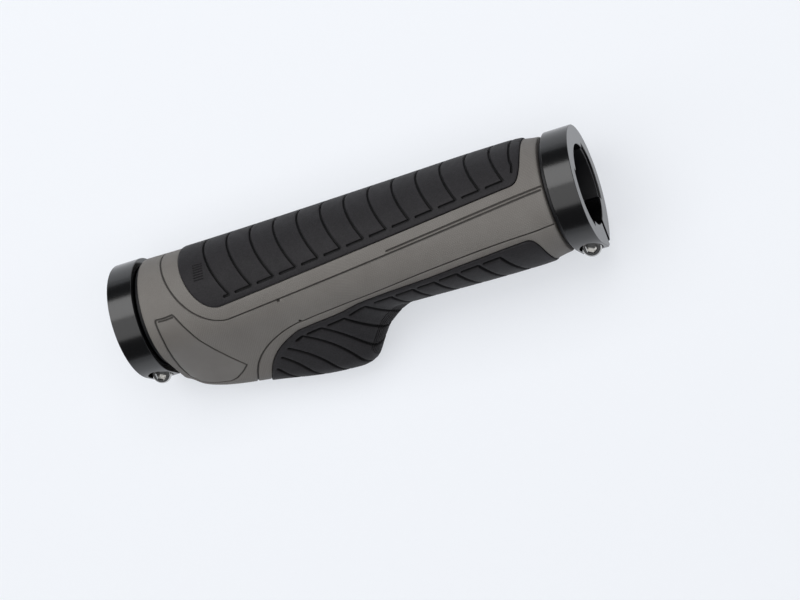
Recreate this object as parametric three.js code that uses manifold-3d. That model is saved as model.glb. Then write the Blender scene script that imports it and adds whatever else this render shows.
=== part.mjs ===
// Winged lock-on handlebar grip, in millimetres.
// A nylon sleeve carries a moulded rubber body with two inlaid ribbed pads, and a split clamp ring with
// its own screw holds each end of the sleeve to the bar. The grip lies on its side, as it comes to rest:
// +X runs along the bar from the outboard end to the inboard end, +Z is up, and the origin is the middle
// of the footprint on the ground. Inside the file the section is drawn round the bar's axis, with its
// angles, in degrees, counted from the middle of the wing.
import * as THREE from "three";
import { mergeVertices } from "three/addons/utils/BufferGeometryUtils.js";
import Module from "manifold-3d";

// Driving dimensions: the bar and the lengths along it
const barDiameter = 22.2;
const boreClearance = 0.05;
const bodyLength = 117;
const flangeThickness = 0.9;
const ringWidth = 7.4;
const seatGap = 0.3;

// Driving dimensions: the sleeve and the rubber body's section
const sleeveWall = 1.75;
const rubberWall = 2.7;
const inboardSwell = 1.2;
const wingRise = 15.2;
const wingEdgeRadius = 7;

// Driving dimensions: the inlaid pads and the fine grooves
const padProud = 0.4;
const padDepth = 1;
const ribPitch = 7.02;
const ribGrooveWidth = 0.7;
const ribGrooveDepth = 0.7;
const ribMargin = 2;
const hookLength = 4.8;
const hookRoom = 0.7;
const lineWidth = 0.5;
const lineDepth = 0.4;
const doubleLineGap = 0.85;

// Driving dimensions: the clamp rings, the sleeve's flange and its tabs
const ringWall = 5.35;
const ringChamfer = 0.35;
const flangeStep = 0.3;
const splitWidth = 2;
const facetDepth = 1;
const facetAngle = -23.5;
const lugProud = 0.9;
const lugSpan = 35;
const tabThickness = 1.25;
const tabHalfAngle = 40;
const tabRecess = 0.5;

// Driving dimensions: the M3 clamp screw
const screwAboveBore = 2.95;
const screwShankRadius = 1.5;
const screwLength = 10;
const screwHeadRadius = 2.75;
const screwHeadHeight = 3;
const headSeat = 4;
const socketAcrossFlats = 2.5;
const socketDepth = 1.6;

// How many flats stand for a full turn of the round pieces, and of the screws
const roundSteps = 36;
const screwSteps = 16;

// Sizes that follow from the driving dimensions
const boreRadius = barDiameter / 2 + boreClearance;
const sleeveRadius = boreRadius + sleeveWall;
const barrelRadius = sleeveRadius + rubberWall;
const wingReach = barrelRadius + wingRise;
const wingCentreReach = wingReach - wingEdgeRadius;
const bodyEnd = bodyLength / 2;
const flangeInner = bodyEnd + seatGap;
const flangeOuter = flangeInner + flangeThickness;
const ringInner = flangeOuter + seatGap;
const ringOuter = ringInner + ringWidth;
const ringMiddle = (ringInner + ringOuter) / 2;
const tabRadius = boreRadius + tabThickness;
const ringRadius = boreRadius + ringWall;
const flangeRadius = ringRadius - flangeStep;
const facetFromAxis = ringRadius - facetDepth;
const screwFromAxis = boreRadius + screwAboveBore;

const radians = THREE.MathUtils.degToRad;
const degrees = THREE.MathUtils.radToDeg;
const clamp = THREE.MathUtils.clamp;

// Places along the bar, counted from either end of the rubber body
const fromOutboard = (distance) => distance - bodyEnd;
const fromInboard = (distance) => bodyEnd - distance;

// A smooth curve through a few [place, value] pairs
function curveThrough(pairs) {
  const places = pairs.map((pair) => pair[0]);
  const values = pairs.map((pair) => pair[1]);
  const curve = new THREE.CubicInterpolant(places, values, 1, [0]);
  return (x) => curve.evaluate(clamp(x, places[0], places.at(-1)))[0];
}

// Evenly spaced numbers from one value up to, and without, the other
const spread = (from, to, steps) =>
  Array.from({ length: steps }, (_, i) => from + ((to - from) * i) / steps);

// How much of its full reach the wing has, along the bar
const wingShare = curveThrough([
  [fromOutboard(0), 0.32],
  [fromOutboard(4.5), 0.52],
  [fromOutboard(8.5), 0.62],
  [fromOutboard(13.5), 0.695],
  [fromOutboard(24.5), 0.8],
  [fromOutboard(38.5), 0.96],
  [fromOutboard(46.5), 1],
  [fromOutboard(50.5), 0.995],
  [fromOutboard(54), 0.905],
  [fromOutboard(57), 0.66],
  [fromOutboard(60), 0.42],
  [fromOutboard(63), 0.27],
  [fromOutboard(66.5), 0.14],
  [fromOutboard(71), 0.05],
  [fromOutboard(78), 0.01],
  [fromOutboard(84), 0],
]);

// How much of the swell the round barrel has, along the bar
const swellShare = curveThrough([
  [fromOutboard(0), 0.1],
  [fromOutboard(10), 0],
  [fromOutboard(38.5), 0.15],
  [fromOutboard(72.5), 0.6],
  [fromInboard(13.5), 1],
  [fromInboard(5.5), 0.85],
  [fromInboard(0), 0.2],
]);

// The section at a place along the bar: the barrel's circle and the wing edge's circle, with flat flanks
// that touch both. The offset grows or shrinks all of it evenly.
function section(x, offset) {
  const barrel = barrelRadius + inboardSwell * swellShare(x) + offset;
  const edge = wingEdgeRadius + offset;
  const reach = barrelRadius + wingRise * wingShare(x);
  const centre = Math.max(reach - wingEdgeRadius, barrel - edge + 1e-3);
  const flank = Math.acos(clamp((barrel - edge) / centre, -1, 1));
  const edgeEnd = Math.atan2(edge * Math.sin(flank), centre + edge * Math.cos(flank));
  return { barrel, edge, centre, flank, edgeEnd };
}

// A point of the outer surface and the direction that it faces, at an angle from the wing's middle
function surface(x, angle, offset = 0) {
  const s = section(x, offset);
  const turned = radians(THREE.MathUtils.euclideanModulo(angle + 180, 360) - 180);
  const side = Math.sign(turned) || 1;
  const a = Math.abs(turned);
  let r = s.barrel;
  let facing = a;
  if (a < s.edgeEnd) {
    r = s.centre * Math.cos(a) + Math.sqrt(s.edge ** 2 - (s.centre * Math.sin(a)) ** 2);
    facing = Math.atan2(r * Math.sin(a), r * Math.cos(a) - s.centre);
  } else if (a < s.flank) {
    r = s.barrel / Math.cos(s.flank - a);
    facing = s.flank;
  }
  return {
    point: new THREE.Vector3(x, r * Math.cos(a), side * r * Math.sin(a)),
    normal: new THREE.Vector3(0, Math.cos(facing), side * Math.sin(facing)),
  };
}

// Solids: manifold-3d only joins and cuts what three.js has shaped
const wasm = await Module();
wasm.setup();

function solidOf(geometry) {
  const shape = geometry.index ? geometry.toNonIndexed() : geometry.clone();
  shape.deleteAttribute("normal");
  shape.deleteAttribute("uv");
  const merged = mergeVertices(shape, 1e-4);
  const mesh = new wasm.Mesh({
    numProp: 3,
    vertProperties: merged.attributes.position.array,
    triVerts: new Uint32Array(merged.index.array),
  });
  return new wasm.Manifold(mesh);
}

function geometryOf(solid) {
  const mesh = solid.getMesh();
  const geometry = new THREE.BufferGeometry();
  geometry.setAttribute("position", new THREE.BufferAttribute(mesh.vertProperties, 3));
  geometry.setIndex(new THREE.BufferAttribute(mesh.triVerts, 1));
  geometry.computeVertexNormals();
  return geometry;
}

const cutAway = (solid, cutters) => cutters.reduce((left, cutter) => left.subtract(cutter), solid);

// A closed skin through rings of points that all have the same count. Each ring runs out along one side
// and back along the other, and a strip between the two sides closes either end.
function loft(rings) {
  const count = rings[0].length;
  const faces = [];
  for (let i = 0; i + 1 < rings.length; i++) {
    for (let j = 0; j < count; j++) {
      const a = i * count + j;
      const b = i * count + ((j + 1) % count);
      faces.push(a, b, a + count, b, b + count, a + count);
    }
  }
  const last = (rings.length - 1) * count;
  for (let j = 0; j + 1 < count / 2; j++) {
    const opposite = count - 1 - j;
    faces.push(j, opposite, j + 1, j + 1, opposite, opposite - 1);
    faces.push(last + j, last + j + 1, last + opposite, last + j + 1, last + opposite - 1, last + opposite);
  }
  const geometry = new THREE.BufferGeometry().setFromPoints(rings.flat());
  geometry.setIndex(faces);
  return solidOf(geometry);
}

// Where the surface is sampled: closely round the wing's edge and along its steep inboard end
const anglesOneSide = [...spread(0, 18, 6), ...spread(18, 66, 4), ...spread(66, 180, 9)];
const sectionAngles = [...anglesOneSide, 180, ...anglesOneSide.slice(1).reverse().map((angle) => -angle)];
const bodyPlaces = [
  ...spread(fromOutboard(0), fromOutboard(48), 8),
  ...spread(fromOutboard(48), fromOutboard(76), 10),
  ...spread(fromOutboard(76), fromInboard(0), 6),
  fromInboard(0),
];

// A cutter that follows a path of [place, angle] pairs over the surface, to a depth below it
function groove(path, width, depth, offset = 0, above = 1) {
  const spots = path.map(([x, angle]) => surface(x, angle, offset));
  const corners = [
    [-1, -depth],
    [1, -depth],
    [1, above],
    [-1, above],
  ];
  const rings = spots.map(({ point, normal }, i) => {
    const before = spots[Math.max(i - 1, 0)].point;
    const after = spots[Math.min(i + 1, spots.length - 1)].point;
    const along = after.clone().sub(before).normalize();
    const across = new THREE.Vector3().crossVectors(normal, along).normalize();
    return corners.map(([side, rise]) =>
      point.clone().addScaledVector(across, (side * width) / 2).addScaledVector(normal, rise),
    );
  });
  return loft(rings);
}

// Outlines on the surface, each as a half-angle along the bar: a width with two round ends. A round end
// is part of a superellipse, of the given length and power.
function roundEnd(distance, [length, power]) {
  const t = clamp(distance / length, 0, 1);
  return (1 - (1 - t) ** power) ** (1 / power);
}

function outline(spec) {
  const { start, end, width, startRound, endRound } = spec;
  const halfAngle = (x) =>
    width(x) * roundEnd(x - start, startRound) * roundEnd(end - x, endRound);
  return { ...spec, halfAngle };
}

const grown = (shape, by) =>
  outline({
    ...shape,
    start: shape.start - by,
    end: shape.end + by,
    width: (x) => shape.width(x) + degrees(by / barrelRadius),
  });

const slanted = (place, angle, slope) => (x) => angle + slope * (x - place);

const barrelPadOutline = outline({
  start: fromOutboard(12.2),
  end: fromInboard(4.3),
  width: slanted(fromOutboard(12.2), 84.4, -0.331),
  startRound: [10.5, 2],
  endRound: [4.2, 3],
});
const wingPadOutline = outline({
  start: fromOutboard(22.2),
  end: fromInboard(4.8),
  width: curveThrough([
    [fromOutboard(34.5), 44.5],
    [fromOutboard(46), 49],
    [fromOutboard(52.5), 51.8],
    [fromOutboard(62), 58],
    [fromOutboard(80), 64],
    [fromOutboard(92), 69],
    [fromInboard(4.5), 74],
  ]),
  startRound: [17.5, 1.35],
  endRound: [4, 3],
});
const barrelLine = outline({
  start: fromOutboard(6.6),
  end: fromInboard(-1),
  width: slanted(fromOutboard(6.6), 103, -0.36),
  startRound: [17, 1.8],
  endRound: [0.5, 1],
});
const wingLine = outline({
  start: fromOutboard(18.3),
  end: fromInboard(-1),
  width: curveThrough([
    [fromOutboard(38), 54],
    [fromOutboard(47.5), 58],
    [fromOutboard(62.5), 64.3],
    [fromOutboard(81), 73],
    [fromOutboard(102), 79.6],
    [fromInboard(0), 80.5],
  ]),
  startRound: [22, 1.4],
  endRound: [0.5, 1],
});

// Places along an outline, close together in its round ends, and in between where the body has its own
function outlinePlaces({ start, end, startRound, endRound }, { followsWing }) {
  const closing = (share) => 1 - Math.cos((share * Math.PI) / 2);
  const opening = spread(0, 1, 7).map((share) => start + startRound[0] * closing(share));
  const opened = start + startRound[0];
  const closes = end - endRound[0];
  const between = bodyPlaces.filter((x) => x > opened + 1 && x < closes - 1);
  const middle = followsWing ? [opened, ...between] : spread(opened, closes, 5);
  const ending = spread(0, 1, 4).map((share) => end - endRound[0] * closing(1 - share));
  return [...opening.slice(1), ...middle, ...ending];
}

// A closed slab that follows the surface inside an outline, between two offsets from it.
// Crowding above 1 draws its rows together about the middle angle, as the wing's sharp edge needs.
function slab(shape, side, low, high) {
  const rows = 6;
  const shares = Array.from({ length: 2 * rows + 1 }, (_, i) => i / rows - 1);
  const crowded = shares.map((share) => Math.sign(share) * Math.abs(share) ** side.crowding);
  const rings = outlinePlaces(shape, side).map((x) => {
    const angles = crowded.map((share) => side.middleAngle + shape.halfAngle(x) * share);
    const top = angles.map((angle) => surface(x, angle, high).point);
    const bottom = angles.map((angle) => surface(x, angle, low).point);
    return [...bottom.reverse(), ...top];
  });
  return loft(rings);
}

// Inlaid pads: each lies in a seat that leaves it a hair of room beside it and twice that below
const barrelSide = { middleAngle: 180, crowding: 1, followsWing: false, ribSteps: 3 };
const wingSide = { middleAngle: 0, crowding: 1.5, followsWing: true, ribSteps: 5 };
const padBlank = (shape, side) => slab(shape, side, -padDepth, padProud);
const padSeat = (shape, side) => slab(grown(shape, seatGap), side, -padDepth - 2 * seatGap, 2 * padProud);

// The half-angle, beside an outline, at which the ribs turn into their hooks
function ribBorder(shape, x) {
  const border = surface(x, shape.halfAngle(x)).point;
  return shape.halfAngle(x) - degrees(ribMargin / Math.hypot(border.y, border.z));
}

// One rib groove: from its middle it bows along the bar to a corner beside each border, and where there is
// room it hooks back from there
function ribGroove(shape, { middleAngle, crowding, ribSteps }, middle, bow, power) {
  const corner = ribBorder(shape, middle + bow);
  const shares = [...spread(0, 1, ribSteps), 1].map((share) => share ** crowding);
  const side = shares.map((share) => [middle + bow * share ** power, corner * share]);
  const hookEnd = middle + bow - hookLength;
  if (hookEnd > shape.start + shape.startRound[0] * hookRoom) {
    side.push([hookEnd, ribBorder(shape, hookEnd)]);
  }
  const mirrored = side.slice(1).reverse().map(([x, angle]) => [x, -angle]);
  const path = [...mirrored, ...side].map(([x, angle]) => [x, middleAngle + angle]);
  return groove(path, ribGrooveWidth, ribGrooveDepth, padProud);
}

// Material, colour and finish of each piece
const rubberGrey = { color: 0x6b6660, roughness: 0.85, metalness: 0 };
const rubberBlack = { color: 0x2e2d2f, roughness: 0.75, metalness: 0 };
const nylonBlack = { color: 0x17171a, roughness: 0.55, metalness: 0 };
const anodisedBlack = { color: 0x131416, roughness: 0.28, metalness: 0.7 };
const stainless = { color: 0xb9bcbf, roughness: 0.25, metalness: 1 };

const grip = new THREE.Group();
function addPiece(name, solid, finish) {
  const mesh = new THREE.Mesh(geometryOf(solid), new THREE.MeshStandardMaterial(finish));
  mesh.name = name;
  grip.add(mesh);
}

// Barrel pad: evenly spaced ribs that bow towards the inboard end, less and less along it
const barrelRibs = [];
const firstRib = fromOutboard(19.8);
for (let x = firstRib; x < barrelPadOutline.end - ribPitch; x += ribPitch) {
  const bow = 6.4 - 0.034 * (x - firstRib);
  barrelRibs.push(ribGroove(barrelPadOutline, barrelSide, x, bow, 1.8));
}
addPiece("barrel_pad", cutAway(padBlank(barrelPadOutline, barrelSide), barrelRibs), rubberBlack);

// Wing pad: each rib's place on the ridge of the wing, and how far it bows back towards the outboard end.
// The ribs sweep furthest over the wing's flank, and crowd on its steep inboard end.
const wingRibs = [
  [fromOutboard(32.5), 5],
  [fromOutboard(39.2), 8.5],
  [fromOutboard(46.2), 12.3],
  [fromOutboard(53.2), 13.7],
  [fromOutboard(57.8), 12.3],
  [fromOutboard(61.1), 8.4],
  [fromOutboard(65.7), 6.1],
  [fromOutboard(71.8), 4.2],
  [fromOutboard(78.5), 4.4],
  [fromOutboard(85.5), 5],
  [fromOutboard(92.2), 5],
  [fromOutboard(99.1), 5.3],
  [fromOutboard(105.8), 5.6],
].map(([ridge, bow]) => ribGroove(wingPadOutline, wingSide, ridge, -bow, 1.5));
addPiece("wing_pad", cutAway(padBlank(wingPadOutline, wingSide), wingRibs), rubberBlack);

// Grey rubber body: a line groove runs round each pad, and a plain panel is outlined on each flank
function lineAlong(shape, side) {
  const places = outlinePlaces(shape, { followsWing: false });
  const oneSide = places.map((x) => [x, shape.halfAngle(x)]);
  const mirrored = [...oneSide].reverse().map(([x, angle]) => [x, -angle]);
  const path = [...mirrored, [shape.start, 0], ...oneSide];
  return groove(path.map(([x, angle]) => [x, side.middleAngle + angle]), lineWidth, lineDepth);
}

function panelLine(side) {
  const corners = [
    [3.2, 102.5],
    [3.6, 104.3],
    [8.5, 104.3],
    [9.1, 100.7],
    [11.3, 81],
    [12.6, 68],
    [14.7, 50],
    [17.1, 35.5],
    [20, 24],
    [18, 19.8],
    [15.2, 15.8],
    [12.9, 14],
    [8.1, 13.8],
    [4.6, 14.6],
    [2.2, 20],
    [2.1, 36],
    [2.8, 60],
    [3.2, 80],
    [3.2, 102.5],
  ];
  const path = corners.map(([place, angle]) => [fromOutboard(place), side * angle]);
  return groove(path, lineWidth, lineDepth);
}

// Towards the inboard end a second line runs beside the barrel's
function secondLine(side) {
  const closer = degrees(doubleLineGap / barrelRadius);
  const places = [...spread(fromOutboard(72), fromInboard(0), 4), fromInboard(-1)];
  const path = places.map((x) => [x, 180 + side * (barrelLine.width(x) - closer)]);
  return groove(path, lineWidth, lineDepth);
}

const bodyBlank = loft(bodyPlaces.map((x) => sectionAngles.map((angle) => surface(x, angle).point)));
const bodyBore = new THREE.CylinderGeometry(
  sleeveRadius + seatGap,
  sleeveRadius + seatGap,
  2 * ringOuter,
  roundSteps,
);
bodyBore.rotateZ(-Math.PI / 2);
const rubberBody = cutAway(bodyBlank, [
  solidOf(bodyBore),
  padSeat(barrelPadOutline, barrelSide),
  padSeat(wingPadOutline, wingSide),
  lineAlong(barrelLine, barrelSide),
  lineAlong(wingLine, wingSide),
  secondLine(1),
  secondLine(-1),
  panelLine(1),
  panelLine(-1),
]);
addPiece("rubber_body", rubberBody, rubberGrey);

// A ring sector between two radii, drawn about the wing's middle plane and extruded along the bar
function ringSector(inner, outer, middleAngle, halfAngle, from, to) {
  const shape = new THREE.Shape();
  const first = radians(middleAngle - halfAngle);
  const last = radians(middleAngle + halfAngle);
  shape.absarc(0, 0, outer, first, last, false);
  shape.absarc(0, 0, inner, last, first, true);
  return extrudeAlongBar(shape, from, to, 0);
}

// The section's Y and Z become the shape's x and y, and the extrusion runs along the bar
function extrudeAlongBar(shape, from, to, chamfer) {
  const geometry = new THREE.ExtrudeGeometry(shape, {
    depth: to - from - 2 * chamfer,
    bevelEnabled: chamfer > 0,
    bevelThickness: chamfer,
    bevelSize: chamfer,
    bevelOffset: -chamfer,
    bevelSegments: 1,
    curveSegments: roundSteps / 4,
  });
  const toBar = new THREE.Matrix4().makeBasis(
    new THREE.Vector3(0, 1, 0),
    new THREE.Vector3(0, 0, 1),
    new THREE.Vector3(1, 0, 0),
  );
  geometry.applyMatrix4(toBar);
  geometry.translate(from + chamfer, 0, 0);
  return solidOf(geometry);
}

// Sleeve: a tube with a flange at each end, and two tabs past each flange that key into the ring
const tabAngles = [90, -90];
const sleeveProfile = [
  [boreRadius, -flangeOuter],
  [flangeRadius, -flangeOuter],
  [flangeRadius, -flangeInner],
  [sleeveRadius, -flangeInner],
  [sleeveRadius, flangeInner],
  [flangeRadius, flangeInner],
  [flangeRadius, flangeOuter],
  [boreRadius, flangeOuter],
  [boreRadius, -flangeOuter],
].map(([r, x]) => new THREE.Vector2(r, x));
const sleeveTube = new THREE.LatheGeometry(sleeveProfile, roundSteps);
sleeveTube.rotateZ(-Math.PI / 2);
let sleeve = solidOf(sleeveTube);
for (const end of [-1, 1]) {
  for (const angle of tabAngles) {
    const reach = [end * flangeInner, end * (ringOuter - tabRecess)].sort((a, b) => a - b);
    sleeve = sleeve.add(ringSector(boreRadius, tabRadius, angle, tabHalfAngle, ...reach));
  }
}
addPiece("core_sleeve", sleeve, nylonBlack);

// Clamp ring: an open collar with a facet beside the split for the screw's head, a lug across the split
// for its thread, and a notch in the bore for each tab
function ringOutside(angle) {
  const halfFacet = degrees(Math.acos(facetFromAxis / ringRadius));
  if (Math.abs(angle - facetAngle) < halfFacet) {
    return facetFromAxis / Math.cos(radians(angle - facetAngle));
  }
  return ringRadius + (angle > 0 ? lugProud * clamp(1 - angle / lugSpan, 0, 1) ** 2 : 0);
}

function ringInside(angle) {
  const notchHalf = tabHalfAngle + degrees(seatGap / boreRadius);
  const inNotch = tabAngles.some((tab) => Math.abs(angle - tab) <= notchHalf);
  return inNotch ? tabRadius + seatGap : boreRadius;
}

function ringShape() {
  const notchHalf = tabHalfAngle + degrees(seatGap / boreRadius);
  const step = 10;
  const hair = 0.01;
  const splitAt = (radius) => degrees(Math.asin(splitWidth / 2 / radius));
  const polar = (radius, angle) =>
    new THREE.Vector2(radius * Math.cos(radians(angle)), radius * Math.sin(radians(angle)));
  const outer = [];
  for (let angle = step; angle < 360 - step; angle += step) {
    const signed = angle > 180 ? angle - 360 : angle;
    outer.push(polar(ringOutside(signed), signed));
  }
  const lugTip = polar(ringRadius + lugProud, splitAt(ringRadius + lugProud));
  const headTip = polar(ringRadius, -splitAt(ringRadius));
  const inner = [polar(boreRadius, -splitAt(boreRadius))];
  const edges = tabAngles.flatMap((tab) => [tab - notchHalf, tab + notchHalf]);
  const innerAngles = [
    ...spread(-step, -180, 17),
    ...spread(180, step, 17),
    ...edges.flatMap((edge) => [edge - hair, edge + hair]),
  ].map((angle) => (angle > 0 ? angle - 360 : angle));
  innerAngles.sort((a, b) => b - a);
  for (const angle of innerAngles) {
    const signed = angle < -180 ? angle + 360 : angle;
    const nearEdge = edges.some((edge) => Math.abs(signed - edge) < 2 && Math.abs(signed - edge) > 2 * hair);
    const nearSplit = Math.abs(signed) < splitAt(boreRadius) + 1;
    if (!nearEdge && !nearSplit) {
      inner.push(polar(ringInside(signed), signed));
    }
  }
  inner.push(polar(boreRadius, splitAt(boreRadius)));
  return new THREE.Shape([lugTip, ...outer, headTip, ...inner]);
}

// A round cutter or pin along the screw's line, between two distances from the split
function alongScrew(geometry, x) {
  geometry.rotateX(-Math.PI / 2);
  geometry.translate(x, screwFromAxis, 0);
  return solidOf(geometry);
}

function screwHole(radius, from, to, x) {
  const geometry = new THREE.CylinderGeometry(radius, radius, to - from, screwSteps);
  geometry.translate(0, (from + to) / 2, 0);
  return alongScrew(geometry, x);
}

function clampRing(end) {
  const [from, to] = [end * ringInner, end * ringOuter].sort((a, b) => a - b);
  const x = end * ringMiddle;
  return cutAway(extrudeAlongBar(ringShape(), from, to, ringChamfer), [
    screwHole(screwShankRadius + seatGap, -ringRadius, headSeat + 1, x),
    screwHole(screwHeadRadius + seatGap, headSeat, headSeat + ringRadius, x),
  ]);
}

// Clamp screw: a socket cap screw, with its head towards the facet
function clampScrew(end) {
  const chamfer = 0.3;
  const seat = headSeat + seatGap;
  const top = seat + screwHeadHeight;
  const tip = seat - screwLength;
  const profile = [
    [0, tip],
    [screwShankRadius - chamfer, tip],
    [screwShankRadius, tip + chamfer],
    [screwShankRadius, seat],
    [screwHeadRadius, seat],
    [screwHeadRadius, top - chamfer],
    [screwHeadRadius - chamfer, top],
    [0, top],
  ].map(([r, y]) => new THREE.Vector2(r, y));
  const socket = new THREE.CylinderGeometry(
    socketAcrossFlats / Math.sqrt(3),
    socketAcrossFlats / Math.sqrt(3),
    2 * socketDepth,
    6,
  );
  socket.translate(0, top, 0);
  const x = end * ringMiddle;
  return alongScrew(new THREE.LatheGeometry(profile, screwSteps), x).subtract(alongScrew(socket, x));
}

for (const [end, name] of [[-1, "outboard"], [1, "inboard"]]) {
  addPiece(name + "_clamp_ring", clampRing(end), anodisedBlack);
  addPiece(name + "_clamp_screw", clampScrew(end), stainless);
}

// At rest the grip lies on the swell of its barrel and on the wing's edge, with the wing forward
const lowestBarrel = barrelRadius + inboardSwell + padProud;
const wingDroop = Math.asin((lowestBarrel - wingEdgeRadius - padProud) / wingCentreReach);
grip.rotation.x = Math.PI + wingDroop;
grip.updateMatrixWorld(true);
const extent = new THREE.Box3().setFromObject(grip, true);
grip.position.set(
  -(extent.min.x + extent.max.x) / 2,
  -(extent.min.y + extent.max.y) / 2,
  -extent.min.z,
);

export default grip;
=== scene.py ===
# Looks of a winged lock-on handlebar grip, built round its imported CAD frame.
# Sizes are in millimetres and are drawn about the bar's axis: x runs along the bar, and angles are counted
# in degrees from the middle of the wing. settle() lays each finished piece down in the part's own frame, in
# metres. The rubber mouldings are skins whose triangles follow every groove and border, which the modelling
# operators can't give, so they are made in code. The sleeve, rings and screws are modelled with operators.
import math

import bmesh
import bpy
import numpy as np
from mathutils import Euler, Matrix, Vector, kdtree
from mathutils.geometry import delaunay_2d_cdt


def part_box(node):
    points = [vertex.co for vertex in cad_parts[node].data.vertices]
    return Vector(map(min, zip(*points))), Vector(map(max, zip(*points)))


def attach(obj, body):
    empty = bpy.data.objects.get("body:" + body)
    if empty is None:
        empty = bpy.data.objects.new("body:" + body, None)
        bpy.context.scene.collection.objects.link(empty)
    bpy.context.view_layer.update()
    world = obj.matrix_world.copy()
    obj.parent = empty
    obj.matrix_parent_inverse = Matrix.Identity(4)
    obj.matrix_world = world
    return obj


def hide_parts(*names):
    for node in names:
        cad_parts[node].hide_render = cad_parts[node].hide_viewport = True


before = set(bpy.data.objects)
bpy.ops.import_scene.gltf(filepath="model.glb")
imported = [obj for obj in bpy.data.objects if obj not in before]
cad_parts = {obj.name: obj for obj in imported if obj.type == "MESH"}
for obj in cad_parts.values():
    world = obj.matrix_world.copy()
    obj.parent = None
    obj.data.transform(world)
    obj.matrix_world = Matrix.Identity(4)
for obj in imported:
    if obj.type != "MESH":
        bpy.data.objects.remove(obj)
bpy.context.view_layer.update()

MM = 0.001

# The bar and the lengths along it
BORE_RADIUS = 11.15
SLEEVE_RADIUS = 12.9
BODY_END = 58.5
SEAT_GAP = 0.3
FLANGE_INNER = BODY_END + SEAT_GAP
FLANGE_OUTER = FLANGE_INNER + 0.9
RING_INNER = FLANGE_OUTER + SEAT_GAP
RING_OUTER = RING_INNER + 7.4
RING_MIDDLE = (RING_INNER + RING_OUTER) / 2

# The rubber body's section, and its inlaid pads
BARREL_RADIUS = 15.6
SWELL = 1.2
WING_REACH = 30.8
WING_EDGE = 7.0
PAD_PROUD = 0.4
PAD_EDGE_DROP = 0.3
PAD_EDGE_ROUND = 0.5
PAD_UNDERSIDE = 0.9
SEAT_DEPTH = 1.0

# Ribs
RIB_MARGIN = 2.0
RIB_PITCH = 7.02
HOOK = 4.8
HOOK_LEAST = 1.5
HOOK_CLEAR = 1.8

# How closely the skins' points lie: along grooves and borders, where distances are measured, off the edges
# of a sheet, and over what shows and what is hidden. Points nearer than the last are one point
ROW_SPACING = 0.5
SAMPLE_SPACING = 0.12
EDGE_CLEAR = 0.03
SHOWN_SPACING = 0.9
UNDERSIDE_SPACING = 2.4
HIDDEN_SPACING = 2.5
SAME_PLACE = 0.002

# Clamp rings, and the sleeve's flanges and tabs
RING_RADIUS = 16.5
FLANGE_RADIUS = 14.6
RING_RIM = 0.2
RING_STEPS = 144
FACET_ANGLE = -32
FACET_PROUD = 1.3
LUG_PROUD = 0.9
LUG_SPAN = 35
SPLIT = 2.0
SLEEVE_LIP = 0.15
TAB_RADIUS = 12.4
TAB_HALF = 40
TAB_START = FLANGE_INNER + 0.3
TAB_END = RING_OUTER - 0.5
TAB_ABOVE_BORE = 0.02
TAB_CORNER = 0.25
NOTCH_HALF = TAB_HALF + math.degrees(SEAT_GAP / BORE_RADIUS)

# Clamp screws, as distances from the split along the screw's own line
SCREW_FROM_AXIS = 14.9
HEAD_SEAT = 4.0
HEAD_RADIUS = 2.75
HEAD_HEIGHT = 3.0
HEAD_ROUND = 0.75
HEAD_BREAK = 0.12
SHANK_RADIUS = 1.5
SCREW_LENGTH = 10.0
SOCKET_RADIUS = 2.5 / math.sqrt(3)
SOCKET_DEPTH = 1.6
SOCKET_LEAD = SOCKET_RADIUS * 0.2
THREAD_PITCH = 0.5
THREAD_LENGTH = 6.0
THREAD_ROOT = SHANK_RADIUS * 0.82
TIP_RADIUS = SHANK_RADIUS * 0.7
TIP_CHAMFER = 0.4

# How the grip lies: on the barrel's swell and the wing's edge
LOWEST_BARREL = BARREL_RADIUS + SWELL + PAD_PROUD
DROOP = math.asin((LOWEST_BARREL - WING_EDGE - PAD_PROUD) / (WING_REACH - WING_EDGE))
sleeve_low, sleeve_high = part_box("core_sleeve")
REST = Matrix.Translation((sleeve_low + sleeve_high) / 2) @ Matrix.Rotation(math.pi + DROOP, 4, "X")


def from_outboard(distance):
    return distance - BODY_END


def from_inboard(distance):
    return BODY_END - distance


# The moulded surface


def smooth_curve(pairs):
    """A cubic curve through [place, value] pairs, level at both ends."""
    places, values = np.array(pairs, float).T
    chords = np.diff(values) / np.diff(places)
    slopes = np.concatenate([[0], (chords[1:] + chords[:-1]) / 2, [0]])

    def at(x):
        x = np.clip(x, places[0], places[-1])
        i = np.clip(np.searchsorted(places, x, side="right") - 1, 0, len(places) - 2)
        width = places[i + 1] - places[i]
        p = (x - places[i]) / width
        rise = (3 - 2 * p) * p**2
        start_pull = (1 - p) ** 2 * p * width * slopes[i]
        end_pull = (p - 1) * p**2 * width * slopes[i + 1]
        return (1 - rise) * values[i] + rise * values[i + 1] + start_pull + end_pull

    return at


wing_share = smooth_curve(
    [
        [from_outboard(0), 0.32],
        [from_outboard(4.5), 0.52],
        [from_outboard(8.5), 0.62],
        [from_outboard(13.5), 0.695],
        [from_outboard(24.5), 0.8],
        [from_outboard(38.5), 0.96],
        [from_outboard(46.5), 1],
        [from_outboard(50.5), 0.995],
        [from_outboard(54), 0.905],
        [from_outboard(57), 0.66],
        [from_outboard(60), 0.42],
        [from_outboard(63), 0.27],
        [from_outboard(66.5), 0.14],
        [from_outboard(71), 0.05],
        [from_outboard(78), 0.01],
        [from_outboard(84), 0],
    ]
)
swell_share = smooth_curve(
    [
        [from_outboard(0), 0.1],
        [from_outboard(10), 0],
        [from_outboard(38.5), 0.15],
        [from_outboard(72.5), 0.6],
        [from_inboard(13.5), 1],
        [from_inboard(5.5), 0.85],
        [from_inboard(0), 0.2],
    ]
)


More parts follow.
